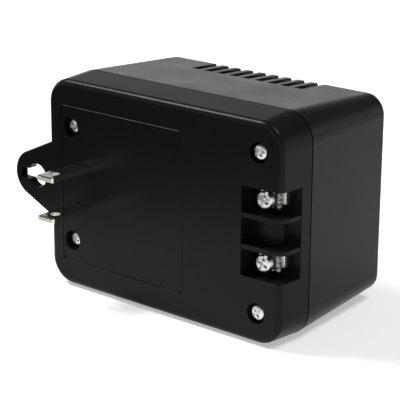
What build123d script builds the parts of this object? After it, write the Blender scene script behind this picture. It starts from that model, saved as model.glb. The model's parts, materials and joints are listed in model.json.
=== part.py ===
from build123d import *
import os
from math import cos, radians, sin, tan

# A plug-in transformer: a two-part moulded case with wall blades, a fixing ear with a keyhole
# at one end, two screw terminals in windows at the other, and the transformer inside it.
# Millimetres. The origin is midway between the blades, on the face that meets the wall.
# +X runs from the plug towards the terminals, +Y from the wall into the case, +Z up.

os.makedirs("parts", exist_ok=True)

# Case
case_length = 91.6            # along X, at the parting line
case_height = 67.5            # along Z, at the parting line
case_depth = 53.1             # along Y
case_centre = 31.2            # from the plug to the middle of the case
parting_depth = 13.3          # depth of the front cover
case_draft = 3.6              # degrees, away from the parting line
corner_radius = 8.7
wall = 2.4
front_edge_radius = 1.8
rear_edge_radius = 0.9
seam_width = 0.5              # shadow line along the parting line
seam_depth = 0.7
tongue_height = 2.0
tongue_thickness = 1.0
fit_gap = 0.15                # between moulded parts that slip together

# Mounting ear and its keyhole
ear_thickness = 2.8
ear_reach = 14.65             # from the plug end of the case to the tip
ear_tip_radius = 7.45
ear_flank_angle = 25.0
ear_edge_chamfer = 0.4
keyhole_inset = 9.7           # from the tip to the middle of the round hole
keyhole_radius = 3.85
keyhole_slot_width = 3.5
keyhole_slot_inset = 2.55     # from the tip to the end of the slot

# Bare label panel on the face
panel_inset = 5.7             # from the plug end of the case
panel_length = 49.25
panel_height = 49.6
panel_depth = 0.2
panel_radius = 0.8

# Cover screws
near_screw_inset = 9.8        # the pair beside the plug, from that end of the case
near_screw_spread = 36.6      # from screw to screw, along Z
far_screw_inset = 9.1         # the pair at the terminal end, from that end of the case
far_screw_spread = 47.7
cover_head_d = 4.9
cover_head_height = 1.9
cover_shank_d = 2.9
cover_shank_length = 18.0
cover_head_sink = 1.5         # from the face to the top of the head
counterbore_d = 6.3
boss_wall = 1.3
shank_clearance = 0.15
blind_depth = 1.5             # left free past the end of a screw

# Plug blades
blade_pitch = 12.7
blade_width = 6.35
blade_thickness = 1.52
blade_reach = 16.3
blade_hole_d = 3.2
blade_hole_reach = 11.9
blade_tip_width = 5.8
blade_tip_thickness = 1.0
blade_bevel_length = 0.9
blade_shoulder_width = 9.4
blade_shoulder_length = 1.6
blade_tail_width = 4.0
blade_tail_length = 4.6
tail_hole_d = 1.8
blade_gap = 0.1
blade_seat_depth = 5.0        # where the shoulders rest, behind the face
blade_seat_margin = 2.4
retainer_plate = 1.6
stake_d = 2.2
stake_x = 3.4
stake_head_d = 3.6
stake_head_height = 0.8

# Terminal windows
window_inset = 14.9           # from the terminal end of the case to their near side
window_height = 8.2
window_rib = 1.25
window_depth = 9.0
blank_depth = 5.0             # depth of the blank window between the terminals
rib_sink = 0.15               # how far the ribs lie behind the face
rib_corner_radius = 4.5
housing_wall = 2.0

# Terminals
terminal_inset = 8.9          # from the terminal end of the case to the screws
terminal_plate_y = 7.9        # front of the plate, behind the face
terminal_plate_thickness = 0.9
terminal_plate_height = 5.6
terminal_plate_near = 4.5     # from the screw to the folded end
terminal_plate_far = 4.1      # from the screw to the free end
terminal_tip_height = 3.7
terminal_tip_length = 0.9
terminal_tail_height = 3.4
terminal_tail_length = 4.8
terminal_tail_hole_d = 1.6
terminal_hole_d = 3.0
clamp_width = 7.8             # along X
clamp_height = 5.0
clamp_thickness = 0.8
clamp_lip = 0.8               # how far its turned ends reach behind it
clamp_bend_radius = 0.7
clamp_turn_upper = 3.0        # degrees, as left by the screw
clamp_turn_lower = -5.0
terminal_head_d = 5.0
terminal_head_height = 2.1
terminal_head_sink = 2.6
terminal_shank_length = 4.8

# Vents in the long sides, over the rear edge
vent_count = 9
vent_pitch = 5.0
vent_width = 3.0
vent_reach = 12.6             # how far a vent runs along the side, from the rear wall
vent_drop = 4.2               # how far a vent runs down the rear wall

# Laminated core: E and I stacks, the legs standing along Z
core_end_room = 8.75          # between the core and the long sides of the case
core_post_gap = 4.6           # between the core and the near screw posts
core_terminal_gap = 1.3       # between the core and the terminals' tails
core_front_room = 10.7        # between the face's inner side and the core
winding_room = 10.6           # behind the core, for the windings
coil_radius = 0.2             # of a winding's inner corners
core_gap = 0.2                # between the core and its seats
seat_size = 4.5
seat_wall = 1.5
seat_overlap = 8.0            # how far the seats reach along the core
stop_inset = 1.0              # from the corner of the core to a stop

# Bobbin and windings
bobbin_gap = 0.2
bobbin_wall = 1.0
flange_thickness = 1.2
flange_gap = 0.4              # between the flanges and the outer legs
flange_rear_gap = 1.7         # between the flanges and the rear wall
winding_margin = 0.6          # from the outside of a winding to the edge of the flanges
tape_thickness = 0.3
winding_gap = 0.1
rail_inset = 2.6              # from the edge of a flange to the end of its rail
rail_depth = 4.0
rail_height = 3.6
pin_side = 0.8                # square pins
pin_length = 5.0
pin_count = 4
pin_inset = 2.0               # from the end of a rail to its outer pins

# Leads and protection
lead_d = 1.5
lead_room = 1.2               # left beside a lead that passes a moulded part
thermal_fuse_d = 4.0
ptc_d = 9.0
ptc_thickness = 2.6
ptc_gap = 0.9                 # between the disc and the terminal tails
ptc_drop = 3.5                # its middle lies this far below the case's middle
card_thickness = 0.5
leg_d = 0.7
ptc_leg_length = 1.5
solder_gap = 0.1              # between a soldered end and what it is soldered to

# Worked-out places of the case
case_left = case_centre - case_length / 2
case_right = case_centre + case_length / 2
draft_slope = tan(radians(case_draft))
ear_tip_x = case_left - ear_reach + ear_tip_radius
keyhole_x = case_left - ear_reach + keyhole_inset
keyhole_slot_end = case_left - ear_reach + keyhole_slot_inset
panel_left = case_left + panel_inset
near_screw_x = case_left + near_screw_inset
far_screw_x = case_right - far_screw_inset
screw_places = [(x, side * spread / 2) for x, spread in
                ((near_screw_x, near_screw_spread), (far_screw_x, far_screw_spread)) for side in (1, -1)]
counterbore_depth = cover_head_sink + cover_head_height
screw_post_radius = cover_shank_d / 2 + shank_clearance + boss_wall + 0.5
window_left = case_right - window_inset
window_z = window_height + window_rib
housing_half_z = 1.5 * window_height + window_rib + housing_wall

# Worked-out places of the plug and the terminals
blade_z = (blade_pitch / 2, -blade_pitch / 2)
shoulder_back = blade_seat_depth + blade_shoulder_length
retainer_back = shoulder_back + retainer_plate
terminal_x = case_right - terminal_inset
terminal_plate_left = terminal_x - terminal_plate_near
terminal_plate_right = terminal_x + terminal_plate_far
plate_back = terminal_plate_y + terminal_plate_thickness
terminal_tail_end = plate_back + terminal_tail_length
clamp_front = terminal_head_sink + terminal_head_height

# The largest three-leg core that the room in the case allows, and what it carries
core_right = terminal_plate_left - core_terminal_gap
core_room_x = core_right - (near_screw_x + screw_post_radius + core_post_gap)
core_room_z = case_height - 2 * core_end_room
core_leg = min(core_room_x / 3, core_room_z / 2.5)
core_side = core_leg / 2
core_width = 3 * core_leg
core_height = 2.5 * core_leg
core_centre_x = core_right - core_width / 2
core_front = wall + core_front_room
core_stack = case_depth - wall - winding_room - core_front
core_back = core_front + core_stack
core_mid_y = core_front + core_stack / 2
winding_half_z = (core_height - core_leg) / 2
tube_half_x = core_leg / 2 + bobbin_gap + bobbin_wall
tube_half_y = core_stack / 2 + bobbin_gap + bobbin_wall
flange_half_x = core_leg - flange_gap
flange_half_y = core_stack / 2 + winding_room - flange_rear_gap
flange_top = winding_half_z - bobbin_gap
coil_space = flange_top - flange_thickness
winding_build = (min(flange_half_x - tube_half_x, flange_half_y - tube_half_y)
                 - winding_margin - tape_thickness - 2 * winding_gap)
rail_half_x = flange_half_x - rail_inset
rail_y = core_mid_y - flange_half_y + rail_depth / 2
pin_root = flange_top + rail_height
pin_pitch = 2 * (rail_half_x - pin_inset) / (pin_count - 1)
pin_reach = pin_root + pin_length * 0.6
pin_reach_side = pin_side / 2 + solder_gap

# Lanes that the leads run in
lane_z = housing_half_z + lead_room + lead_d / 2
stop_low = lane_z + lead_d / 2 + lead_room
stop_right = core_centre_x - core_width / 2 + stop_inset + seat_size
far_stop_left = core_right - stop_inset - seat_size
near_lane_x = (stop_right + core_centre_x - flange_half_x) / 2
tail_y = shoulder_back + blade_tail_length - tail_hole_d
tail_side = blade_tail_width / 2 + solder_gap
terminal_side = terminal_plate_left + terminal_plate_thickness + solder_gap
terminal_tail_y = terminal_tail_end - terminal_tail_hole_d
ptc_place = (terminal_side + 2 * ptc_thickness - 1, terminal_tail_end + ptc_gap + ptc_d / 2, -ptc_drop)


def block(x0, x1, y0, y1, z0, z1):
    """Box between two corners."""
    box = Box(x1 - x0, y1 - y0, z1 - z0)
    return Pos((x0 + x1) / 2, (y0 + y1) / 2, (z0 + z1) / 2) * box


def slab(outline, y0, y1):
    """Prism of an outline drawn in X and Z, from depth y0 to depth y1."""
    return Pos(0, y1, 0) * Rot(90, 0, 0) * extrude(outline, amount=y1 - y0)


def rod(x, z, diameter, y0, y1):
    """Round bar along Y."""
    return slab(Pos(x, z) * Circle(diameter / 2), y0, y1)


def drafted(inset, depth, to_wall):
    """Block of the case's outline, set in by inset, running away from the parting line."""
    outline = RectangleRounded(
        case_length - 2 * inset, case_height - 2 * inset, corner_radius - inset)
    turn = Rot(90, 0, 0) if to_wall else Rot(-90, 0, 0)
    return Pos(case_centre, parting_depth, 0) * turn * extrude(outline, amount=depth, taper=case_draft)


def wire_path(points, diameter):
    """Round wire in straight runs, mitred where they meet."""
    path = Polyline(*points)
    section = Plane(path @ 0, z_dir=path % 0) * Circle(diameter / 2)
    return sweep(section, path=path, transition=Transition.RIGHT)


# Front cover

def ear_plate():
    """Tapered ear with a round tip, flush with the face, before its keyhole is cut."""
    root_x = case_left + parting_depth * draft_slope + wall / 2
    slope = radians(ear_flank_angle)
    touch_x = ear_tip_x - ear_tip_radius * sin(slope)
    touch_z = ear_tip_radius * cos(slope)
    root_z = touch_z + (root_x - touch_x) * tan(slope)
    corners = (touch_x, touch_z), (touch_x, -touch_z), (root_x, -root_z), (root_x, root_z)
    plate = slab(Pos(ear_tip_x, 0) * Circle(ear_tip_radius) + Polygon(*corners, align=None), 0, ear_thickness)
    rims = [edge for face in plate.faces().filter_by(Axis.Y) for edge in face.edges()
            if edge.center().X < root_x - 0.1]
    return chamfer(rims, ear_edge_chamfer)


def keyhole():
    """Round hole with a narrow slot towards the tip of the ear."""
    slot_length = keyhole_x - keyhole_slot_end
    slot = Pos(keyhole_x - slot_length / 2, 0) * Rectangle(slot_length, keyhole_slot_width)
    return slab(Pos(keyhole_x, 0) * Circle(keyhole_radius) + slot, -1, ear_thickness + 1)


def blade_seat():
    """Block behind the face that the blades stand in, with two stakes for the retainer."""
    half_x = blade_shoulder_width / 2 + 0.6
    half_z = (blade_pitch + blade_thickness) / 2 + blade_seat_margin
    seat = block(-half_x, half_x, wall / 2, blade_seat_depth, -half_z, half_z)
    for x in (-stake_x, stake_x):
        seat += rod(x, 0, stake_d, blade_seat_depth - 0.5, retainer_back + 0.1)
        head = rod(x, 0, stake_head_d, retainer_back + 0.05, retainer_back + stake_head_height)
        seat += chamfer(head.faces().sort_by(Axis.Y)[-1].edges(), stake_head_height * 0.6)
    return seat


def terminal_housing():
    """Walls and floor around the three windows."""
    return block(window_left - housing_wall, case_right, wall / 2, window_depth + housing_wall,
                 -housing_half_z, housing_half_z)


def window_cut(z):
    """One window: through the face and round the corner into the side."""
    half = window_height / 2
    return block(window_left, case_right + 1, -1, window_depth, z - half, z + half)


def window_back(sink, half_z):
    """The cover's form beside the windows, set in by sink, with a large radius round its corner."""
    form = drafted(sink, parting_depth - sink, True)
    form &= block(window_left - 1, case_right, 0, parting_depth, -half_z, half_z)
    corner = form.edges().filter_by(Axis.Z).sort_by(lambda e: e.center().X - e.center().Y)[-1]
    return fillet(corner, rib_corner_radius)


def terminal_bed(z):
    """Block that the terminal plate lies on."""
    half = terminal_plate_height / 2
    left = terminal_plate_left + terminal_plate_thickness + blade_gap
    right = terminal_plate_right - terminal_tip_length
    return block(left, right, plate_back, window_depth + 0.5, z - half, z + half)


def terminal_bore(z):
    """Room for the terminal screw's end, in the bed and the housing floor."""
    screw_end = clamp_front + terminal_shank_length
    return rod(terminal_x, z, terminal_hole_d + 0.4, window_depth - 1, screw_end + 0.4)


def terminal_slot(z):
    """Opening in the housing floor for the tail of the terminal plate."""
    half = terminal_tail_height / 2 + blade_gap
    left = terminal_plate_left - blade_gap
    right = terminal_plate_left + terminal_plate_thickness + blade_gap
    return block(left, right, window_depth - 1, window_depth + housing_wall + 1, z - half, z + half)


def core_stops():
    """Four posts that press on the corners of the core."""
    posts = []
    stop_high = core_height / 2 - stop_inset
    for left in (stop_right - seat_size, far_stop_left):
        for side in (-1, 1):
            z0, z1 = sorted((side * stop_low, side * stop_high))
            posts.append(block(left, left + seat_size, wall / 2, core_front - core_gap, z0, z1))
    return posts


def front_cover():
    shell = drafted(0, parting_depth, True)
    shell = fillet(shell.faces().sort_by(Axis.Y)[0].edges(), front_edge_radius)
    outside = shell
    cavity = drafted(wall, parting_depth - wall, True)
    seam = block(case_left - 1, case_right + 1, parting_depth - seam_width, parting_depth + 1,
                 -case_height, case_height) - drafted(seam_depth, parting_depth, True)
    groove = (drafted(wall - tongue_thickness - fit_gap, tongue_height + fit_gap, True)
              - drafted(wall + 0.3, tongue_height + 1, True))
    cover = shell - cavity
    cover += (terminal_housing() & outside)
    cover += ear_plate()
    cover += blade_seat()
    for x, z in screw_places:
        cover += rod(x, z, counterbore_d + 2 * boss_wall, wall / 2, parting_depth)
    for post in core_stops():
        cover += post
    cover -= seam
    cover -= groove
    for z in (window_z, -window_z):
        cover -= window_cut(z)
        cover += terminal_bed(z)
        cover -= terminal_slot(z)
        cover -= terminal_bore(z)
    half = housing_half_z - housing_wall
    bars = block(window_left, case_right + 1, -1, window_depth, 1 - half, half - 1)
    cover -= bars - window_back(rib_sink, half)
    cover -= window_cut(0) - window_back(blank_depth, half)
    cover -= keyhole()
    panel = Pos(panel_left + panel_length / 2, 0) * RectangleRounded(panel_length, panel_height, panel_radius)
    cover -= slab(panel, -1, panel_depth)
    for x, z in screw_places:
        cover -= rod(x, z, counterbore_d, -1, counterbore_depth)
        cover -= rod(x, z, cover_shank_d + 2 * shank_clearance, 0, parting_depth + 1)
    for z in blade_z:
        half_x = blade_width / 2 + blade_gap
        half_z = blade_thickness / 2 + blade_gap
        cover -= block(-half_x, half_x, -1, blade_seat_depth + 1, z - half_z, z + half_z)
    return cover


# Rear case

def core_seats():
    """Four corner posts that carry the core and hold it sideways."""
    core = block(core_centre_x - core_width / 2 - core_gap, core_centre_x + core_width / 2 + core_gap,
                 core_front, core_back + core_gap,
                 -core_height / 2 - core_gap, core_height / 2 + core_gap)
    posts = []
    for sx in (-1, 1):
        for sz in (-1, 1):
            x = core_centre_x + sx * core_width / 2
            z = sz * core_height / 2
            inner_x = x - sx * seat_size
            outer_x = x + sx * (core_gap + seat_wall)
            inner_z = z - sz * seat_size
            outer_z = z + sz * (core_gap + seat_wall)
            post = block(min(inner_x, outer_x), max(inner_x, outer_x), core_back - seat_overlap,
                         case_depth - wall / 2, min(inner_z, outer_z), max(inner_z, outer_z))
            posts.append(post - core)
    return posts


def vents():
    """Slots along Y that run over both long rear edges."""
    low = case_height / 2 - (case_depth - parting_depth) * draft_slope - vent_drop
    cuts = []
    for i in range(vent_count):
        x = case_centre + (i - (vent_count - 1) / 2) * vent_pitch
        for side in (1, -1):
            z0, z1 = sorted((side * low, side * case_height))
            cuts.append(block(x - vent_width / 2, x + vent_width / 2, case_depth - vent_reach,
                              case_depth + 1, z0, z1))
    return cuts


def rear_case():
    depth = case_depth - parting_depth
    shell = drafted(0, depth, False)
    shell = fillet(shell.faces().sort_by(Axis.Y)[-1].edges(), rear_edge_radius)
    case = shell - drafted(wall, depth - wall, False)
    case += drafted(wall - tongue_thickness, tongue_height, True) - drafted(wall, tongue_height + 1, True)
    for x, z in screw_places:
        case += rod(x, z, 2 * screw_post_radius, parting_depth, case_depth - wall / 2)
    for post in core_seats():
        case += post
    hole_end = counterbore_depth + cover_shank_length + blind_depth
    for x, z in screw_places:
        case -= rod(x, z, cover_shank_d + 0.1, parting_depth - 1, hole_end)
    for cut in vents():
        case -= cut
    return case


# Fasteners

def cross_recess(width, thickness, depth):
    """Cross-shaped driver recess whose wings narrow with depth, its mouth at Z = 0."""
    mouth = width / 2
    root = width / 5
    wing = Polygon((-mouth, 0.2), (mouth, 0.2), (root, -depth), (-root, -depth), align=None)
    blade = extrude(Plane.XZ * wing, amount=thickness / 2, both=True)
    return blade + Rot(0, 0, 90) * blade


def pan_screw(head_d, head_height, shank_d, shank_length, slot_width):
    """Screw standing on Z, the top of its head at Z = 0, with a cross recess and maybe a slot."""
    head = Pos(0, 0, -head_height / 2) * Cylinder(head_d / 2, head_height)
    head = chamfer(head.faces().sort_by(Axis.Z)[-1].edges(), head_height * 0.3, head_height * 0.2)
    shank = Pos(0, 0, -head_height - shank_length / 2) * Cylinder(shank_d / 2, shank_length)
    shank = chamfer(shank.faces().sort_by(Axis.Z)[0].edges(), shank_d * 0.2)
    screw = head + shank - cross_recess(head_d * 0.58, head_d * 0.16, head_height * 0.65)
    if slot_width:
        screw -= Pos(0, 0, 0.1 - head_height * 0.2) * Box(head_d + 1, slot_width, head_height * 0.4 + 0.2)
    return screw


def cover_screws():
    screw = pan_screw(cover_head_d, cover_head_height, cover_shank_d, cover_shank_length, 0)
    turns = (12, -20, 38, 5)
    return [Pos(x, cover_head_sink, z) * Rot(90, 0, 0) * Rot(0, 0, turn) * screw
            for (x, z), turn in zip(screw_places, turns)]


def terminal_screws():
    screw = pan_screw(terminal_head_d, terminal_head_height, terminal_hole_d - 0.1,
                      terminal_shank_length, terminal_head_d * 0.17)
    turns = (-52, -48)
    return [Pos(terminal_x, terminal_head_sink, z) * Rot(90, 0, 0) * Rot(0, 0, turn) * screw
            for z, turn in zip((window_z, -window_z), turns)]


# Plug

def blade(z):
    """Flat wall blade with a bevelled tip, a round hole, shoulders and a solder tail."""
    half = blade_width / 2
    reach = -blade_reach
    neck = reach + blade_bevel_length
    tip = blade_tip_width / 2
    corners = ((-half, blade_seat_depth), (-half, neck), (-tip, reach),
               (tip, reach), (half, neck), (half, blade_seat_depth))
    outline = Polygon(*corners, align=None)
    shoulders = Rectangle(blade_shoulder_width, blade_shoulder_length)
    outline += Pos(0, (blade_seat_depth + shoulder_back) / 2) * shoulders
    tail_end = shoulder_back + blade_tail_length
    outline += Pos(0, (shoulder_back + tail_end) / 2) * Rectangle(blade_tail_width, blade_tail_length)
    outline -= Pos(0, -blade_hole_reach) * Circle(blade_hole_d / 2)
    outline -= Pos(0, tail_end - tail_hole_d) * Circle(tail_hole_d / 2)
    bar = extrude(outline, amount=blade_thickness / 2, both=True)
    for side in (1, -1):
        wedge = Polygon((reach - 1, side * blade_thickness), (neck, side * blade_thickness),
                        (neck, side * blade_thickness / 2), (reach, side * blade_tip_thickness / 2),
                        (reach - 1, side * blade_tip_thickness / 2), align=None)
        bar -= extrude(Plane.YZ * wedge, amount=blade_width, both=True)
    return Pos(0, 0, z) * bar


def blade_retainer():
    """Moulded block that holds the shoulders of both blades down on their seat."""
    half_x = blade_shoulder_width / 2 + 0.6
    half_z = (blade_pitch + blade_thickness) / 2 + 1.6
    body = block(-half_x, half_x, blade_seat_depth, retainer_back, -half_z, half_z)
    body = chamfer(body.edges().filter_by(Axis.Y), 1.0)
    gap_z = blade_thickness / 2 + blade_gap
    for z in blade_z:
        half = blade_shoulder_width / 2 + blade_gap
        body -= block(-half, half, blade_seat_depth - 1, shoulder_back, z - gap_z, z + gap_z)
        half = blade_tail_width / 2 + blade_gap
        body -= block(-half, half, shoulder_back - 0.5, retainer_back + 1, z - gap_z, z + gap_z)
    for x in (-stake_x, stake_x):
        body -= rod(x, 0, stake_d + 2 * fit_gap, blade_seat_depth - 1, retainer_back + 1)
    return body


# Terminals

def terminal_plate(z):
    """Folded strip: a tail through the housing floor, a plate under the screw, a narrow free end."""
    thick = terminal_plate_thickness
    neck = terminal_plate_right - terminal_tip_length
    half = terminal_plate_height / 2
    plate = block(terminal_plate_left, neck, terminal_plate_y, plate_back, z - half, z + half)
    half = terminal_tip_height / 2
    plate += block(neck - thick, terminal_plate_right, terminal_plate_y, plate_back, z - half, z + half)
    half = terminal_tail_height / 2
    plate += block(terminal_plate_left, terminal_plate_left + thick, terminal_plate_y, terminal_tail_end,
                   z - half, z + half)
    fold = plate.edges().filter_by(Axis.Z).sort_by(lambda e: e.center().X + e.center().Y)[0]
    plate = fillet(fold, thick * 0.7)
    tail_hole = Rot(0, 90, 0) * Cylinder(terminal_tail_hole_d / 2, 4)
    plate -= Pos(terminal_plate_left, terminal_tail_end - terminal_tail_hole_d, z) * tail_hole
    return plate - rod(terminal_x, z, terminal_hole_d, terminal_plate_y - 1, plate_back + 1)


def clamp_washer(z, turn):
    """Clamp plate carried up under the screw's head, its two ends bent back over the wire."""
    depth = clamp_thickness + clamp_lip
    half_x = clamp_width / 2
    half_z = clamp_height / 2
    washer = block(-half_x, half_x, 0, depth, -half_z, half_z)
    bends = washer.edges().filter_by(Axis.Z).group_by(Axis.Y)[0]
    washer = fillet(bends, clamp_bend_radius)
    inner = half_x - clamp_thickness
    washer -= block(-inner, inner, clamp_thickness, depth + 1, -half_z - 1, half_z + 1)
    washer -= rod(0, 0, terminal_hole_d + 2 * shank_clearance, -1, depth)
    return Pos(terminal_x, clamp_front, z) * Rot(0, turn, 0) * washer


# Transformer

def core_e():
    """Stack of E sheets: back at the bottom, three legs up."""
    x0 = core_centre_x - core_width / 2
    z0 = -core_height / 2
    stack = block(x0, x0 + core_width, core_front, core_back, z0, z0 + core_height - core_side)
    for side in (-1, 1):
        middle = core_centre_x + side * core_leg * 0.75
        stack -= block(middle - core_side / 2, middle + core_side / 2, core_front - 1, core_back + 1,
                       z0 + core_side, core_height / 2)
    return stack


def core_i():
    """Stack of I sheets that closes the legs."""
    x0 = core_centre_x - core_width / 2
    top = core_height / 2
    return block(x0, x0 + core_width, core_front, core_back, top - core_side, top)


def ring(inner_x, inner_y, inner_radius, thickness, side):
    """Band around one chamber of the bobbin, its inner half sizes and corner radius given."""
    z0, z1 = sorted((side * (flange_thickness / 2 + winding_gap), side * (coil_space - winding_gap)))
    outline = RectangleRounded(2 * (inner_x + thickness), 2 * (inner_y + thickness), inner_radius + thickness)
    hole = RectangleRounded(2 * inner_x, 2 * inner_y, inner_radius)
    return Pos(core_centre_x, core_mid_y, z0) * extrude(outline - hole, amount=z1 - z0)


def bobbin():
    """Two-chamber bobbin with a pin rail on each end flange."""
    body = block(-tube_half_x, tube_half_x, -tube_half_y, tube_half_y, -flange_top, flange_top)
    middle = flange_thickness / 2
    for z0, z1 in ((-flange_top, -coil_space), (-middle, middle), (coil_space, flange_top)):
        flange = block(-flange_half_x, flange_half_x, -flange_half_y, flange_half_y, z0, z1)
        body += chamfer(flange.edges().filter_by(Axis.Z), 1.2)
    for side in (-1, 1):
        z0, z1 = sorted((side * coil_space, side * pin_root))
        body += block(-rail_half_x, rail_half_x, -flange_half_y, -flange_half_y + rail_depth, z0, z1)
    body -= block(-tube_half_x + bobbin_wall, tube_half_x - bobbin_wall, -tube_half_y + bobbin_wall,
                  tube_half_y - bobbin_wall, -flange_top - 1, flange_top + 1)
    return Pos(core_centre_x, core_mid_y, 0) * body


def pin_x(index):
    """Place of a pin along its rail."""
    return core_centre_x + (index - (pin_count - 1) / 2) * pin_pitch


def bobbin_pins():
    """Solder pins standing on the rails, touching their ends."""
    pins = []
    for side in (-1, 1):
        for index in range(pin_count):
            middle = side * (pin_root + pin_length / 2)
            pins.append(Pos(pin_x(index), rail_y, middle) * Box(pin_side, pin_side, pin_length))
    return pins


def winding(side):
    """Coil in one chamber: the primary below, the secondary above."""
    return ring(tube_half_x + winding_gap, tube_half_y + winding_gap, coil_radius, winding_build, side)


def tape(side):
    """Insulating tape round one winding."""
    out = 2 * winding_gap + winding_build
    return ring(tube_half_x + out, tube_half_y + out, coil_radius + out, tape_thickness, side)


def insulating_card():
    """Folded card between the blade tails and the core's near leg."""
    left = core_centre_x - core_width / 2
    near = left - core_gap - card_thickness
    front = core_front - core_gap - card_thickness
    half_z = core_height / 2 - seat_size - 3
    card = block(near, left + core_side - 1, front, front + card_thickness, -half_z, half_z)
    return card + block(near, near + card_thickness, front, core_back - seat_overlap, -half_z, half_z)


# Leads, thermal fuse and resettable fuse

def pin_place(index, side, dx=0.0):
    """Point beside a pin, at the height where a lead is wrapped on it."""
    return (pin_x(index) + dx, rail_y, side * pin_reach)


def primary_lead_upper():
    """From the upper blade, beside the bobbin, to the first primary pin."""
    end = pin_place(0, -1, dx=-pin_reach_side)
    points = [(tail_side, tail_y, blade_z[0]), (near_lane_x, tail_y, blade_z[0]),
              (near_lane_x, tail_y, blade_z[1]), (near_lane_x, end[1], end[2]), end]
    return wire_path(points, lead_d)


def primary_lead_lower():
    """From the lower blade, past the first pin, to the second."""
    x, y, z = pin_place(1, -1, dx=-pin_reach_side)
    low_y = y - pin_reach_side - 1.4 * lead_d
    pass_x = pin_x(0) + pin_side / 2 + lead_d
    points = [(tail_side, tail_y, blade_z[1]), (near_lane_x - lead_d, tail_y - 0.5, blade_z[1]),
              (near_lane_x - 0.5, low_y, blade_z[1] - 8), (near_lane_x, low_y, z),
              (pass_x, low_y, z), ((pass_x + x) / 2, y, z), (x, y, z)]
    return wire_path(points, lead_d)


def thermal_fuse():
    """Thermal cut-off lying between two primary pins, on its wire legs."""
    x0, x1 = pin_x(1), pin_x(2)
    y = rail_y + pin_reach_side + leg_d / 2
    body = Cylinder(thermal_fuse_d / 2, pin_pitch - pin_side - leg_d)
    body = chamfer(body.edges(), thermal_fuse_d / 8)
    leg = Cylinder(leg_d / 2, x1 - x0 + pin_side)
    return Pos((x0 + x1) / 2, y, -pin_reach) * Rot(0, 90, 0) * (body + leg)


def secondary_lead_upper():
    """From a secondary pin, between the housing and the core stop, to the upper terminal."""
    x, y, z = pin_place(3, 1, dx=pin_reach_side)
    side_x = terminal_side + 2 * lead_d
    back_y = core_front + 1.0
    points = [(x, y, z), (x + 2 * lead_d, y, z), (far_stop_left - lead_d, y + lead_d, lane_z),
              (side_x - lead_d, back_y, lane_z), (side_x, back_y, window_z + 2 * lead_d),
              (side_x, terminal_tail_y, window_z), (terminal_side, terminal_tail_y, window_z)]
    return wire_path(points, lead_d)


def secondary_lead_lower():
    """From the other secondary pin to the top leg of the resettable fuse."""
    x, y, z = pin_place(2, 1, dx=pin_reach_side)
    low_y = y - pin_reach_side - 1.5 * lead_d
    pass_x = pin_x(3) - pin_side / 2 - lead_d
    ptc_x, ptc_y, ptc_z = ptc_place
    end_z = ptc_z + ptc_d / 2 + ptc_leg_length + solder_gap
    points = [(x, y, z), (x + lead_d, y, z), (pass_x, low_y, z), (far_stop_left - 3 * lead_d, low_y, lane_z),
              (ptc_x - 2 * lead_d, low_y + 1, lane_z), (ptc_x, core_front + 1, lane_z),
              (ptc_x, ptc_y, end_z + 4 * lead_d), (ptc_x, ptc_y, end_z)]
    return wire_path(points, lead_d)


def resettable_fuse():
    """Disc fuse in the secondary, its lower leg soldered to the terminal tail."""
    x, y, z = ptc_place
    disc = Rot(0, 90, 0) * Cylinder(ptc_d / 2, ptc_thickness)
    disc = chamfer(disc.edges(), 0.6)
    sunk = leg_d / 2
    leg = Pos(0, 0, (ptc_d + ptc_leg_length - sunk) / 2) * Cylinder(leg_d / 2, ptc_leg_length + sunk)
    points = [(x, y, z - ptc_d / 2 + sunk), (x, y, -window_z), (x, terminal_tail_y, -window_z),
              (terminal_side, terminal_tail_y, -window_z)]
    return Pos(x, y, z) * (disc + leg) + wire_path(points, leg_d)


pieces = {
    "front_cover": front_cover(),
    "rear_case": rear_case(),
    "cover_screws": cover_screws(),
    "blade_upper": blade(blade_z[0]),
    "blade_lower": blade(blade_z[1]),
    "blade_retainer": blade_retainer(),
    "terminal_plate_upper": terminal_plate(window_z),
    "terminal_plate_lower": terminal_plate(-window_z),
    "clamp_washer_upper": clamp_washer(window_z, clamp_turn_upper),
    "clamp_washer_lower": clamp_washer(-window_z, clamp_turn_lower),
    "terminal_screws": terminal_screws(),
    "core_e_laminations": core_e(),
    "core_i_laminations": core_i(),
    "bobbin": bobbin(),
    "bobbin_pins": bobbin_pins(),
    "primary_winding": winding(-1),
    "secondary_winding": winding(1),
    "primary_tape": tape(-1),
    "secondary_tape": tape(1),
    "insulating_card": insulating_card(),
    "primary_lead_upper": primary_lead_upper(),
    "primary_lead_lower": primary_lead_lower(),
    "thermal_fuse": thermal_fuse(),
    "secondary_lead_upper": secondary_lead_upper(),
    "secondary_lead_lower": secondary_lead_lower(),
    "resettable_fuse": resettable_fuse(),
}

for name, piece in pieces.items():
    solid = Compound(children=piece) if isinstance(piece, list) else piece
    solid.label = name
    export_step(solid, f"parts/{name}.step")
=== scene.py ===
import json
from collections import Counter
from math import atan2, ceil, cos, floor, hypot, pi, radians, sin

import bmesh
import bpy
from mathutils import Matrix, Vector


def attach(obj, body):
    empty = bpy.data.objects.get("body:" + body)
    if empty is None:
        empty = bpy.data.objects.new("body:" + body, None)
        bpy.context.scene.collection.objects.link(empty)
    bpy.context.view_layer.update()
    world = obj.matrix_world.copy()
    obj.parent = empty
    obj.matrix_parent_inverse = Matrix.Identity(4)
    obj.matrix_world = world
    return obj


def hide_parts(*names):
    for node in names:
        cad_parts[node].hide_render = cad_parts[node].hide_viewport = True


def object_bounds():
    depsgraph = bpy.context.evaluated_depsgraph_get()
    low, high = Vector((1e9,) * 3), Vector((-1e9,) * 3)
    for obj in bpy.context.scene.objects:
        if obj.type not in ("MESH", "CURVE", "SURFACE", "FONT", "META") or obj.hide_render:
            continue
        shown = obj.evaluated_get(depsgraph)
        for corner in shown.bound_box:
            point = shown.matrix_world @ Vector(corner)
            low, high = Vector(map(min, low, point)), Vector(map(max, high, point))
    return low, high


# Blender works in metres. The sizes of this object are written in millimetres, times MM.
MM = 0.001

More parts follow.
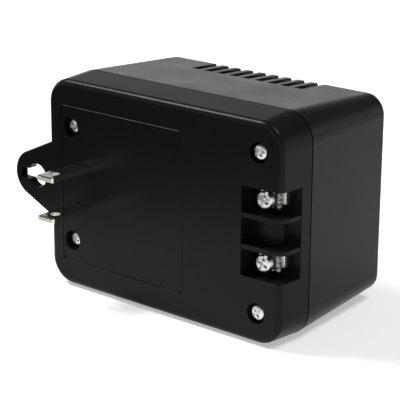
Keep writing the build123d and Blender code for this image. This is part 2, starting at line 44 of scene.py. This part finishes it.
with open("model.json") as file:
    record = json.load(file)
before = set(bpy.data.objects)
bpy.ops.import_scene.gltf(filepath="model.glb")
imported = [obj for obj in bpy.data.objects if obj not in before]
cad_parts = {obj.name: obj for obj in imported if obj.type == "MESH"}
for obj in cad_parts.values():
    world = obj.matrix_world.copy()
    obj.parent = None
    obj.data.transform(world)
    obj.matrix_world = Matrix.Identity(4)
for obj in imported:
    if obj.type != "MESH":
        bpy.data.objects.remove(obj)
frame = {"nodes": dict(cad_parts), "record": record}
nodes = frame["nodes"]
cad_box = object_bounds()
material_of = {part["node"]: part["material_slot"] for part in frame["record"]["subparts"]}


# Places on the case, as the solids have them

CASE_MIDDLE_X = 31.2 * MM
TERMINAL_X = 68.1 * MM
TERMINAL_Z = 9.45 * MM
CLAMP_Y = 4.7 * MM
PLATE_Y = 7.9 * MM
NEAR_SCREW_X = -4.8 * MM
NEAR_SCREW_Z = 18.3 * MM
FAR_SCREW_X = 67.9 * MM
FAR_SCREW_Z = 23.85 * MM
PANEL_LEFT = -8.9 * MM
PANEL_LENGTH = 49.25 * MM
PANEL_HEIGHT = 49.6 * MM


# Camera: the angles, distance and aim that the photograph's outline and blades gave

SENSOR = 36.0
FRAME_PIXELS = 400
FOCAL_PIXELS = 1559.0
AZIMUTH = radians(39.709)
ELEVATION = radians(17.827)
ROLL = radians(0.294)
DISTANCE = 459.888 * MM
AIM_RIGHT = 12.21 * MM
AIM_UP = 2.40 * MM
CLIP_NEAR = 0.01
CLIP_FAR = 20


def towards(azimuth, elevation):
    """Direction out from the case. The azimuth is counted from the face towards the terminals."""
    return Vector((sin(azimuth) * cos(elevation), -cos(azimuth) * cos(elevation), sin(elevation)))


def add_object(name, data):
    thing = bpy.data.objects.new(name, data)
    bpy.context.scene.collection.objects.link(thing)
    return thing


def add_camera():
    back = towards(AZIMUTH, ELEVATION)
    right = Vector((cos(AZIMUTH), sin(AZIMUTH), 0))
    up = back.cross(right)
    rolled_right = right * cos(ROLL) + up * sin(ROLL)
    rolled_up = up * cos(ROLL) - right * sin(ROLL)
    place = Vector((CASE_MIDDLE_X, 0, 0)) + rolled_right * AIM_RIGHT + rolled_up * AIM_UP + back * DISTANCE
    camera = add_object("camera", bpy.data.cameras.new("camera"))
    camera.data.sensor_width = SENSOR
    camera.data.lens = FOCAL_PIXELS / FRAME_PIXELS * SENSOR
    camera.data.clip_start = CLIP_NEAR
    camera.data.clip_end = CLIP_FAR
    turn = Matrix((rolled_right, rolled_up, back)).transposed().to_4x4()
    camera.matrix_world = Matrix.Translation(place) @ turn
    bpy.context.scene.camera = camera


add_camera()


# Shader nodes

BEVEL_SAMPLES = 6
ALONG_Y = (1, 0, 1)           # flattens a place along Y


class Shader:
    """A node material on one Principled shader, with short calls for what its surfaces share."""

    def __init__(self, name, colour, roughness, metallic=0.0, specular=0.5):
        self.material = bpy.data.materials.new(name)
        self.material.use_nodes = True
        self.tree = self.material.node_tree
        self.principled = self.tree.nodes["Principled BSDF"]
        self.principled.inputs["Base Color"].default_value = (*colour, 1)
        self.principled.inputs["Roughness"].default_value = roughness
        self.principled.inputs["Metallic"].default_value = metallic
        self.principled.inputs["Specular IOR Level"].default_value = specular
        self.where = self.tree.nodes.new("ShaderNodeTexCoord").outputs["Object"]
        self.normal = None

    def link(self, source, node, socket):
        self.tree.links.new(source, node.inputs[socket])

    def noise(self, size, detail=2.0, roughness=0.5, stretch=(1, 1, 1)):
        """Noise whose features are about size metres across, stretched along the axes."""
        mapping = self.tree.nodes.new("ShaderNodeMapping")
        mapping.inputs["Scale"].default_value = stretch
        self.link(self.where, mapping, "Vector")
        node = self.tree.nodes.new("ShaderNodeTexNoise")
        node.inputs["Scale"].default_value = 1 / size
        node.inputs["Detail"].default_value = detail
        node.inputs["Roughness"].default_value = roughness
        self.link(mapping.outputs["Vector"], node, "Vector")
        return node.outputs["Fac"]

    def waves(self, pitch, axis, distortion):
        """Ridges at a pitch in metres along an axis."""
        node = self.tree.nodes.new("ShaderNodeTexWave")
        node.bands_direction = axis
        node.inputs["Scale"].default_value = pi / 10 / pitch
        node.inputs["Distortion"].default_value = distortion
        self.link(self.where, node, "Vector")
        return node.outputs["Fac"]

    def spread(self, value, low, high, from_low, from_high):
        """A value carried from one range to another."""
        node = self.tree.nodes.new("ShaderNodeMapRange")
        node.inputs["From Min"].default_value = from_low
        node.inputs["From Max"].default_value = from_high
        node.inputs["To Min"].default_value = low
        node.inputs["To Max"].default_value = high
        self.link(value, node, "Value")
        return node.outputs["Result"]

    def blended(self, share, value, fixed):
        """A value carried to a fixed one by a share."""
        node = self.tree.nodes.new("ShaderNodeMix")
        self.link(share, node, 0)
        self.link(value, node, 2)
        node.inputs[3].default_value = fixed
        return node.outputs[0]

    def mixed(self, share, first, second):
        """Two colours mixed by a share."""
        node = self.tree.nodes.new("ShaderNodeMix")
        node.data_type = "RGBA"
        self.link(share, node, 0)
        node.inputs[6].default_value = (*first, 1)
        node.inputs[7].default_value = (*second, 1)
        return node.outputs[2]

    def vector_step(self, operation, first, second=None, result="Vector"):
        """One step of vector arithmetic on sockets or fixed vectors."""
        node = self.tree.nodes.new("ShaderNodeVectorMath")
        node.operation = operation
        for socket, value in ((0, first), (1, second)):
            if isinstance(value, tuple):
                node.inputs[socket].default_value = value
            elif value:
                self.link(value, node, socket)
        return node.outputs[result]

    def agreement(self, output, direction):
        """How far the surface's own normal agrees with a direction, from -1 to 1."""
        geometry = self.tree.nodes.new("ShaderNodeNewGeometry")
        return self.vector_step("DOT_PRODUCT", geometry.outputs[output], direction, "Value")

    def bevel(self, radius):
        node = self.tree.nodes.new("ShaderNodeBevel")
        node.samples = BEVEL_SAMPLES
        node.inputs["Radius"].default_value = radius
        return node

    def edges(self, radius):
        """Share of a surface that lies within a radius of an edge."""
        softened = self.bevel(radius).outputs["Normal"]
        return self.spread(self.agreement("Normal", softened), 1.0, 0.0, 0.75, 0.99)

    def facing(self, direction):
        """Share of a surface that faces a direction."""
        return self.spread(self.agreement("True Normal", direction), 0.0, 1.0, 0.4, 0.8)

    def panel_rise(self, centre, half_x, half_z, radius, width):
        """One inside a rounded rectangle in the XZ plane, zero outside, sloped over a width between."""
        moved = self.vector_step("SUBTRACT", self.vector_step("MULTIPLY", self.where, ALONG_Y), centre)
        inner = (half_x - radius, 0, half_z - radius)
        past = self.vector_step("SUBTRACT", self.vector_step("ABSOLUTE", moved), inner)
        reach = self.vector_step("LENGTH", self.vector_step("MAXIMUM", past, (0, 0, 0)), result="Value")
        return self.spread(reach, 1.0, 0.0, radius - width / 2, radius + width / 2)

    def rounded(self, radius, sharp_within=0.0):
        """Softens every edge by a radius, for the light, but not those within a distance of the Y axis."""
        bevel = self.bevel(radius)
        if sharp_within:
            flat = self.vector_step("MULTIPLY", self.where, ALONG_Y)
            away = self.vector_step("LENGTH", flat, result="Value")
            self.link(self.spread(away, 0.0, radius, sharp_within, sharp_within * 1.05), bevel, "Radius")
        self.normal = bevel.outputs["Normal"]

    def bump(self, height, depth):
        """Relief of a depth in metres on top of what is there."""
        node = self.tree.nodes.new("ShaderNodeBump")
        node.inputs["Distance"].default_value = depth
        self.link(height, node, "Height")
        if self.normal:
            self.link(self.normal, node, "Normal")
        self.normal = node.outputs["Normal"]

    def finish(self):
        if self.normal:
            self.link(self.normal, self.principled, "Normal")
        return self.material


# Surfaces

MOULDED_EDGE = 0.18 * MM
WORN_EDGE = 0.35 * MM
FLOW_MARKS = 14 * MM
SINK_MARKS = 9 * MM
SINK_DEPTH = 0.02 * MM
PANEL_RADIUS = 1.6 * MM
PANEL_EDGE_WIDTH = 0.35 * MM
PANEL_EDGE_RELIEF = 0.4 * MM
BLADE_SLOTS_REACH = 8.2 * MM  # from the origin to past the corners of the slots
SHEARED_END = (0, -1, 0)
SHEARED_ROUGHNESS = 0.55
DRAWN_ALONG_Y = (1, 0.08, 1)


def moulded_plastic(name, colour, roughness, specular, grain, grain_depth, face=False):
    """Moulded plastic with a fine grain, faint flow marks, and edges polished by handling."""
    look = Shader(name, colour, roughness, specular=specular)
    look.rounded(MOULDED_EDGE, BLADE_SLOTS_REACH if face else 0.0)
    fine = look.noise(grain, 2.0, 0.6)
    gloss = look.spread(look.noise(FLOW_MARKS, 3.0), roughness - 0.03, roughness + 0.04, 0.3, 0.7)
    look.link(look.blended(look.edges(WORN_EDGE), gloss, roughness * 0.8), look.principled, "Roughness")
    lighter = tuple(channel * 1.5 + 0.002 for channel in colour)
    flecks = look.spread(fine, 0.0, 0.35, 0.35, 0.75)
    look.link(look.mixed(flecks, colour, lighter), look.principled, "Base Color")
    look.bump(fine, grain_depth)
    look.bump(look.noise(SINK_MARKS, 1.0), SINK_DEPTH)
    if face:
        centre = (PANEL_LEFT + PANEL_LENGTH / 2, 0, 0)
        rise = look.panel_rise(centre, PANEL_LENGTH / 2, PANEL_HEIGHT / 2, PANEL_RADIUS, PANEL_EDGE_WIDTH)
        look.bump(rise, PANEL_EDGE_RELIEF)
    return look.finish()


def plated_metal(name, colour, dull, roughness, drawn=None, sheared=None):
    """Plated metal: cloudy brightness, fine marks, maybe drawing lines and a duller sheared end."""
    look = Shader(name, colour, roughness, metallic=1.0)
    look.rounded(0.07 * MM)
    clouds = look.spread(look.noise(1.6 * MM, 3.0), 0.0, 1.0, 0.3, 0.75)
    fine = look.noise(0.16 * MM, 3.0, 0.6, drawn or (1, 1, 1))
    look.link(look.mixed(clouds, colour, dull), look.principled, "Base Color")
    polish = look.spread(fine, roughness * 0.7, roughness * 1.5, 0.3, 0.7)
    if sheared:
        polish = look.blended(look.facing(sheared), polish, SHEARED_ROUGHNESS)
    look.link(polish, look.principled, "Roughness")
    look.bump(fine, 0.0015 * MM)
    return look.finish()


def grooved_metal(name, colour, roughness, pitch, depth):
    """Dull plated plate with pressed grooves across it, which grip a wire."""
    look = Shader(name, colour, roughness, metallic=1.0)
    look.rounded(0.12 * MM)
    grooves = look.waves(pitch, "Z", 0.4)
    marks = look.noise(0.4 * MM, 3.0, 0.6)
    look.link(look.spread(marks, roughness * 0.8, roughness * 1.3, 0.3, 0.7), look.principled, "Roughness")
    look.bump(grooves, depth)
    look.bump(marks, 0.004 * MM)
    return look.finish()


def ribbed(name, colour, other, roughness, metallic, pitch, axis, depth):
    """Stacked sheets or laid wire: fine ridges along an axis."""
    look = Shader(name, colour, roughness, metallic=metallic)
    lines = look.waves(pitch, axis, 0.6)
    tone = look.spread(lines, 0.0, 1.0, 0.0, 0.6)
    look.link(look.mixed(tone, other, colour), look.principled, "Base Color")
    uneven = look.spread(look.noise(3 * MM), roughness - 0.08, roughness + 0.1, 0.3, 0.7)
    look.link(uneven, look.principled, "Roughness")
    look.bump(lines, depth)
    return look.finish()


def dull_surface(name, colour, other, roughness, mark, depth):
    """Unglazed insulation, card or resin: mottled colour and a slight roughness."""
    look = Shader(name, colour, roughness)
    marks = look.noise(mark, 3.0, 0.6)
    tone = look.spread(marks, 0.0, 1.0, 0.3, 0.7)
    look.link(look.mixed(tone, colour, other), look.principled, "Base Color")
    look.link(look.spread(marks, roughness - 0.06, roughness + 0.08, 0.3, 0.7), look.principled, "Roughness")
    look.bump(marks, depth)
    return look.finish()


# For each slot, what its surface function takes: colours, roughness, and sizes of grain, pitch or mark
CASE_LOOK = ((0.006, 0.006, 0.0063), 0.30, 0.10, 0.22 * MM, 0.008 * MM)
SLOTS = {
    moulded_plastic: {
        "case_plastic": CASE_LOOK,
        "inner_plastic": ((0.02, 0.02, 0.02), 0.55, 0.4, 0.3 * MM, 0.012 * MM),
        "bobbin_plastic": ((0.75, 0.73, 0.66), 0.45, 0.5, 0.4 * MM, 0.01 * MM),
    },
    plated_metal: {
        "zinc_steel": ((0.80, 0.79, 0.77), (0.60, 0.59, 0.57), 0.27),
        "nickel_blade": ((0.76, 0.74, 0.70), (0.66, 0.64, 0.60), 0.13, DRAWN_ALONG_Y, SHEARED_END),
        "fuse_metal": ((0.66, 0.65, 0.62), (0.5, 0.49, 0.47), 0.3),
    },
    ribbed: {
        "core_steel": ((0.16, 0.16, 0.17), (0.04, 0.035, 0.03), 0.4, 0.8, 0.5 * MM, "Y", 0.08 * MM),
        "copper_wire": ((0.62, 0.24, 0.10), (0.2, 0.06, 0.02), 0.3, 0.9, 0.45 * MM, "Z", 0.1 * MM),
    },
    dull_surface: {
        "yellow_tape": ((0.72, 0.50, 0.06), (0.62, 0.42, 0.05), 0.3, 2 * MM, 0.02 * MM),
        "grey_card": ((0.20, 0.21, 0.22), (0.15, 0.16, 0.17), 0.8, 0.5 * MM, 0.03 * MM),
        "black_insulation": ((0.02, 0.02, 0.02), (0.03, 0.03, 0.03), 0.45, 1 * MM, 0.01 * MM),
        "white_insulation": ((0.75, 0.75, 0.72), (0.68, 0.68, 0.64), 0.45, 1 * MM, 0.01 * MM),
        "red_insulation": ((0.42, 0.02, 0.015), (0.34, 0.015, 0.01), 0.45, 1 * MM, 0.01 * MM),
        "fuse_coating": ((0.55, 0.25, 0.03), (0.46, 0.2, 0.02), 0.4, 1 * MM, 0.03 * MM),
    },
}
materials = {slot: surface(slot, *look) for surface, looks in SLOTS.items() for slot, look in looks.items()}

grooved_zinc = grooved_metal("grooved_zinc", (0.42, 0.415, 0.40), 0.34, 1.35 * MM, 0.12 * MM)
# Satin nickel plating for the terminal plates. Its base colour is set lighter than the blades' nickel as
# painted light, so that the plates' bent tips look lit.
satin_nickel_painted_lighter = plated_metal("satin_nickel_painted_lighter", (0.84, 0.82, 0.78), (0.74, 0.72, 0.68), 0.24)
special = {
    "front_cover": moulded_plastic("face_plastic", *CASE_LOOK, face=True),
    "clamp_washer_upper": grooved_zinc,
    "clamp_washer_lower": grooved_zinc,
    "terminal_plate_upper": satin_nickel_painted_lighter,
    "terminal_plate_lower": satin_nickel_painted_lighter,
}

for node, slot in material_of.items():
    piece = nodes[node]
    piece.data.materials.clear()
    piece.data.materials.append(special.get(node, materials[slot]))


# Pieces that stand for a plain solid

def stand_for(node, suffix, mesh, material):
    piece = add_object(node + suffix, mesh)
    mesh.materials.append(material)
    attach(piece, "root")
    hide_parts(node)


# Screws: domed heads with their drive recesses, and rolled threads

HEAD_CELL = 0.075 * MM
WALL_STEP = 0.012 * MM
THREAD_SIDES = 20
THREAD_ROWS = 5               # rows of points to a turn
SMOOTH_BELOW = radians(38)

COVER_HEAD = {"radius": 2.45 * MM, "height": 1.9 * MM, "edge": 0.75 * MM, "power": 2.3,
              "half": 0.4 * MM, "reach": 1.4 * MM, "cross_depth": 1.25 * MM, "slot_depth": 0}
COVER_SHANK = {"radius": 1.45 * MM, "length": 18 * MM, "pitch": 1.1 * MM, "depth": 0.3 * MM}
NEAR_SINK = 1.5 * MM          # from the face to the top of a head
FAR_SINK = 0.3 * MM
TERMINAL_HEAD = {"radius": 2.65 * MM, "height": 2.5 * MM, "edge": 1.6 * MM, "power": 3,
                 "half": 0.45 * MM, "reach": 1.9 * MM, "cross_depth": 1.4 * MM, "slot_depth": 0.9 * MM}
TERMINAL_SHANK = {"radius": 1.45 * MM, "length": 4.8 * MM, "pitch": 0.6 * MM, "depth": 0.2 * MM}
TERMINAL_SINK = 2.2 * MM
TERMINAL_TURN = 68            # degrees


def grid_lines(radius, walls):
    """Lines across a head: an even grid, with a close pair of lines at each recess wall."""
    count = ceil(2 * radius / HEAD_CELL)
    lines = [2 * radius * i / count - radius for i in range(count + 1)]
    for wall in walls:
        lines = [line for line in lines if abs(line - wall) > HEAD_CELL / 2]
    for wall in walls:
        lines += [wall - WALL_STEP, wall + WALL_STEP]
    return sorted(lines)


def head_top(radius, height, edge, power, half, reach, cross_depth, slot_depth):
    """Dome over a disc with a tapered cross recess and maybe a slot. Also gives its rim in order."""

    def level(u, v):
        out = min(hypot(u, v) / radius, 1)
        top = edge + (height - edge) * (1 - out ** power) ** (1 / power)
        along, across = max(abs(u), abs(v)), min(abs(u), abs(v))
        if across < half and along < reach:
            top = min(top, height - cross_depth * (1 - 0.5 * along / reach))
        if abs(v) < half:
            top = min(top, height - slot_depth)
        return top

    lines = grid_lines(radius, [side * place for place in (half, reach) for side in (-1, 1)])
    cells = [(i, j) for i in range(len(lines) - 1) for j in range(len(lines) - 1)
             if hypot(lines[i] + lines[i + 1], lines[j] + lines[j + 1]) < 2 * radius]
    around = [[(i, j), (i + 1, j), (i + 1, j + 1), (i, j + 1)] for i, j in cells]
    uses = Counter(corner for ring in around for corner in ring)
    index = {corner: number for number, corner in enumerate(uses)}
    points, rim = [], []
    for (i, j), count in uses.items():
        u, v = lines[i], lines[j]
        if count < 4:
            rim.append(len(points))
            u, v = u * radius / hypot(u, v), v * radius / hypot(u, v)
        points.append((u, v, level(u, v)))
    rim.sort(key=lambda number: atan2(points[number][1], points[number][0]))
    return points, [[index[corner] for corner in ring] for ring in around], rim


def threaded_shank(radius, length, pitch, depth):
    """Rows of points down a shank whose radius follows a helical ridge, blunt at its end."""
    points, faces = [], []
    count = ceil(length / pitch * THREAD_ROWS)
    for row in range(count + 1):
        down = length * row / count
        for side in range(THREAD_SIDES):
            turn = 2 * pi * side / THREAD_SIDES
            place = down / pitch - side / THREAD_SIDES
            ridge = abs(2 * (place - floor(place)) - 1)
            r = min(radius - depth * ridge, radius * 0.75 + length - down)
            points.append((r * cos(turn), r * sin(turn), -down))
    for row in range(count):
        for side in range(THREAD_SIDES):
            a, b = row * THREAD_SIDES + side, row * THREAD_SIDES + (side + 1) % THREAD_SIDES
            faces.append([a, a + THREAD_SIDES, b + THREAD_SIDES, b])
    faces.append([count * THREAD_SIDES + side for side in reversed(range(THREAD_SIDES))])
    return points, faces


def detailed_screws(node, places, head, shank):
    """Screws that stand for a node's plain ones. Each place is an X, the top's Y, a Z and a turn."""
    top, top_faces, rim = head_top(**head)
    low = [(top[k][0], top[k][1], 0.0) for k in rim]
    thread, thread_faces = threaded_shank(**shank)
    points = top + low + [(0, 0, 0)] + thread
    first, centre = len(top), len(top) + len(low)
    faces = list(top_faces)
    for k in range(len(rim)):
        after = (k + 1) % len(rim)
        faces.append([rim[k], first + k, first + after, rim[after]])
        faces.append([first + k, centre, first + after])
    faces += [[centre + 1 + corner for corner in face] for face in thread_faces]
    all_points, all_faces = [], []
    for x, sink, z, turn in places:
        base = len(all_points)
        c, s = cos(radians(turn)), sin(radians(turn))
        under = sink + head["height"]
        all_points += [(x + u * c - v * s, under - w, z + u * s + v * c) for u, v, w in points]
        all_faces += [[base + corner for corner in face] for face in faces]
    mesh = bpy.data.meshes.new(node + "_detailed")
    mesh.from_pydata(all_points, [], all_faces)
    mesh.shade_smooth()
    mesh.set_sharp_from_angle(angle=SMOOTH_BELOW)
    stand_for(node, "_detailed", mesh, materials[material_of[node]])


cover_places = [(NEAR_SCREW_X, NEAR_SINK, NEAR_SCREW_Z, 12), (NEAR_SCREW_X, NEAR_SINK, -NEAR_SCREW_Z, -20),
                (FAR_SCREW_X, FAR_SINK, FAR_SCREW_Z, 38), (FAR_SCREW_X, FAR_SINK, -FAR_SCREW_Z, 33)]
terminal_places = [(TERMINAL_X, TERMINAL_SINK, side * TERMINAL_Z, TERMINAL_TURN) for side in (1, -1)]
detailed_screws("cover_screws", cover_places, COVER_HEAD, COVER_SHANK)
detailed_screws("terminal_screws", terminal_places, TERMINAL_HEAD, TERMINAL_SHANK)


# Wire clamps and terminal plates, pressed and bent as sheet is
# Each prism is an outline in X and Y with its half height along Z, in mm.

CLAMP = (((-2.8, 0), (1.9, 0), (2.2, 1.2), (3.0, 1.2), (3.1, 0.1), (3.8, 0.0), (3.9, 1.0), (3.1, 1.8),
          (2.0, 1.8), (1.6, 0.8), (-2.2, 0.8), (-2.2, 1.6), (-2.8, 1.6)), 2.5)
PLATE = (((-4.5, 0), (2.5, 0), (2.5, 0.9), (-4.5, 0.9)), 2.8)
PLATE_TAIL = (((-4.5, 0.5), (-3.6, 0.5), (-3.6, 5.7), (-4.5, 5.7)), 1.7)
PLATE_TIP = (((2.35, -0.4), (3.75, 0.17), (3.88, 1.07), (2.35, 0.5)), 1.85)
CLAMP_TURNS = {"upper": 3, "lower": -5}   # degrees, as left by the screw


def sheet_piece(node, prisms, middle, turn=0.0):
    """Prisms along Z that stand for a node, about a middle."""
    shape = bmesh.new()
    for outline, half in prisms:
        low, high = ([shape.verts.new((x * MM, y * MM, z * MM)) for x, y in outline] for z in (-half, half))
        shape.faces.new(low)
        shape.faces.new(high)
        for k in range(len(outline)):
            after = (k + 1) % len(outline)
            shape.faces.new((low[k], low[after], high[after], high[k]))
    bmesh.ops.recalc_face_normals(shape, faces=shape.faces)
    shape.transform(Matrix.Translation(middle) @ Matrix.Rotation(radians(turn), 4, "Y"))
    mesh = bpy.data.meshes.new(node + "_pressed")
    shape.to_mesh(mesh)
    shape.free()
    stand_for(node, "_pressed", mesh, special[node])


for name, side in (("upper", 1), ("lower", -1)):
    z = side * TERMINAL_Z
    sheet_piece("clamp_washer_" + name, (CLAMP,), Vector((TERMINAL_X, CLAMP_Y, z)), CLAMP_TURNS[name])
    sheet_piece("terminal_plate_" + name, (PLATE, PLATE_TAIL, PLATE_TIP), Vector((TERMINAL_X, PLATE_Y, z)))


# Floor, background and light

FLOOR_NEAR = 80 * MM
FLOOR_REACH = 900 * MM
FLOOR_GREY = 0.84
FLOOR_ROUGHNESS = 0.9
FLOOR_LIFT = 0.4
SKY_STOPS = ((0.46, 0.04), (0.5, 1.1), (0.6, 1.1), (0.68, 0.12))   # height from 0 to 1, and grey
LAMP_DISTANCE = 1.1
LAMP_SIZE = 0.35
LAMP_AIM = Vector((CASE_MIDDLE_X, 25 * MM, 0))
LAMPS = {"key_softbox": (-70, 52, 10), "side_softbox": (92, 64, 5)}   # azimuth, elevation, watts


def add_floor():
    """Pale table top that keeps the shadow and shows as white to the camera and in reflections."""
    level = cad_box[0][2]
    away = Vector((sin(AZIMUTH), cos(AZIMUTH), 0))
    across = Vector((cos(AZIMUTH), -sin(AZIMUTH), 0))
    corners = [away * along + across * side + Vector((0, 0, level))
               for along, side in ((-FLOOR_NEAR, -FLOOR_REACH), (-FLOOR_NEAR, FLOOR_REACH),
                                   (FLOOR_REACH, FLOOR_REACH), (FLOOR_REACH, -FLOOR_REACH))]
    mesh = bpy.data.meshes.new("floor")
    mesh.from_pydata(corners, [], [(0, 1, 2, 3)])
    table = add_object("floor", mesh)
    look = bpy.data.materials.new("pale_floor")
    look.use_nodes = True
    tree = look.node_tree
    principled = tree.nodes["Principled BSDF"]
    principled.inputs["Base Color"].default_value = (FLOOR_GREY, FLOOR_GREY, FLOOR_GREY, 1)
    principled.inputs["Roughness"].default_value = FLOOR_ROUGHNESS
    principled.inputs["Specular IOR Level"].default_value = 0.0
    path = tree.nodes.new("ShaderNodeLightPath")
    seen = tree.nodes.new("ShaderNodeMath")
    seen.operation = "MAXIMUM"
    tree.links.new(path.outputs["Is Camera Ray"], seen.inputs[0])
    tree.links.new(path.outputs["Is Glossy Ray"], seen.inputs[1])
    lift = tree.nodes.new("ShaderNodeMath")
    lift.operation = "MULTIPLY"
    lift.inputs[1].default_value = FLOOR_LIFT
    tree.links.new(seen.outputs[0], lift.inputs[0])
    principled.inputs["Emission Color"].default_value = (1, 1, 1, 1)
    tree.links.new(lift.outputs[0], principled.inputs["Emission Strength"])
    mesh.materials.append(look)


def add_world():
    """White to the camera; for light and reflections bright near the horizon, dim above and dark below."""
    world = bpy.data.worlds.new("studio")
    bpy.context.scene.world = world
    world.use_nodes = True
    tree = world.node_tree
    where = tree.nodes.new("ShaderNodeTexCoord")
    axes = tree.nodes.new("ShaderNodeSeparateXYZ")
    tree.links.new(where.outputs["Generated"], axes.inputs[0])
    height = tree.nodes.new("ShaderNodeMapRange")
    height.inputs["From Min"].default_value = -1.0
    tree.links.new(axes.outputs["Z"], height.inputs["Value"])
    ramp = tree.nodes.new("ShaderNodeValToRGB")
    ramp.color_ramp.interpolation = "EASE"
    while len(ramp.color_ramp.elements) < len(SKY_STOPS):
        ramp.color_ramp.elements.new(0.5)
    for element, (place, grey) in zip(ramp.color_ramp.elements, SKY_STOPS):
        element.position = place
        element.color = (grey, grey, grey, 1)
    tree.links.new(height.outputs["Result"], ramp.inputs["Fac"])
    path = tree.nodes.new("ShaderNodeLightPath")
    pick = tree.nodes.new("ShaderNodeMix")
    pick.data_type = "RGBA"
    pick.inputs[7].default_value = (1, 1, 1, 1)
    tree.links.new(path.outputs["Is Camera Ray"], pick.inputs[0])
    tree.links.new(ramp.outputs["Color"], pick.inputs[6])
    tree.links.new(pick.outputs[2], tree.nodes["Background"].inputs["Color"])


def add_softbox(name, azimuth, elevation, watts):
    """Square lamp aimed at the case's middle. The azimuth is counted as the camera's, in degrees."""
    direction = towards(radians(azimuth), radians(elevation))
    lamp = add_object(name, bpy.data.lights.new(name, "AREA"))
    lamp.data.shape = "SQUARE"
    lamp.data.size = LAMP_SIZE
    lamp.data.energy = watts
    lamp.location = LAMP_AIM + direction * LAMP_DISTANCE
    lamp.rotation_euler = direction.to_track_quat("Z", "Y").to_euler()


add_floor()
add_world()
for name, lamp in LAMPS.items():
    add_softbox(name, *lamp)

bpy.context.scene.view_settings.view_transform = "Standard"
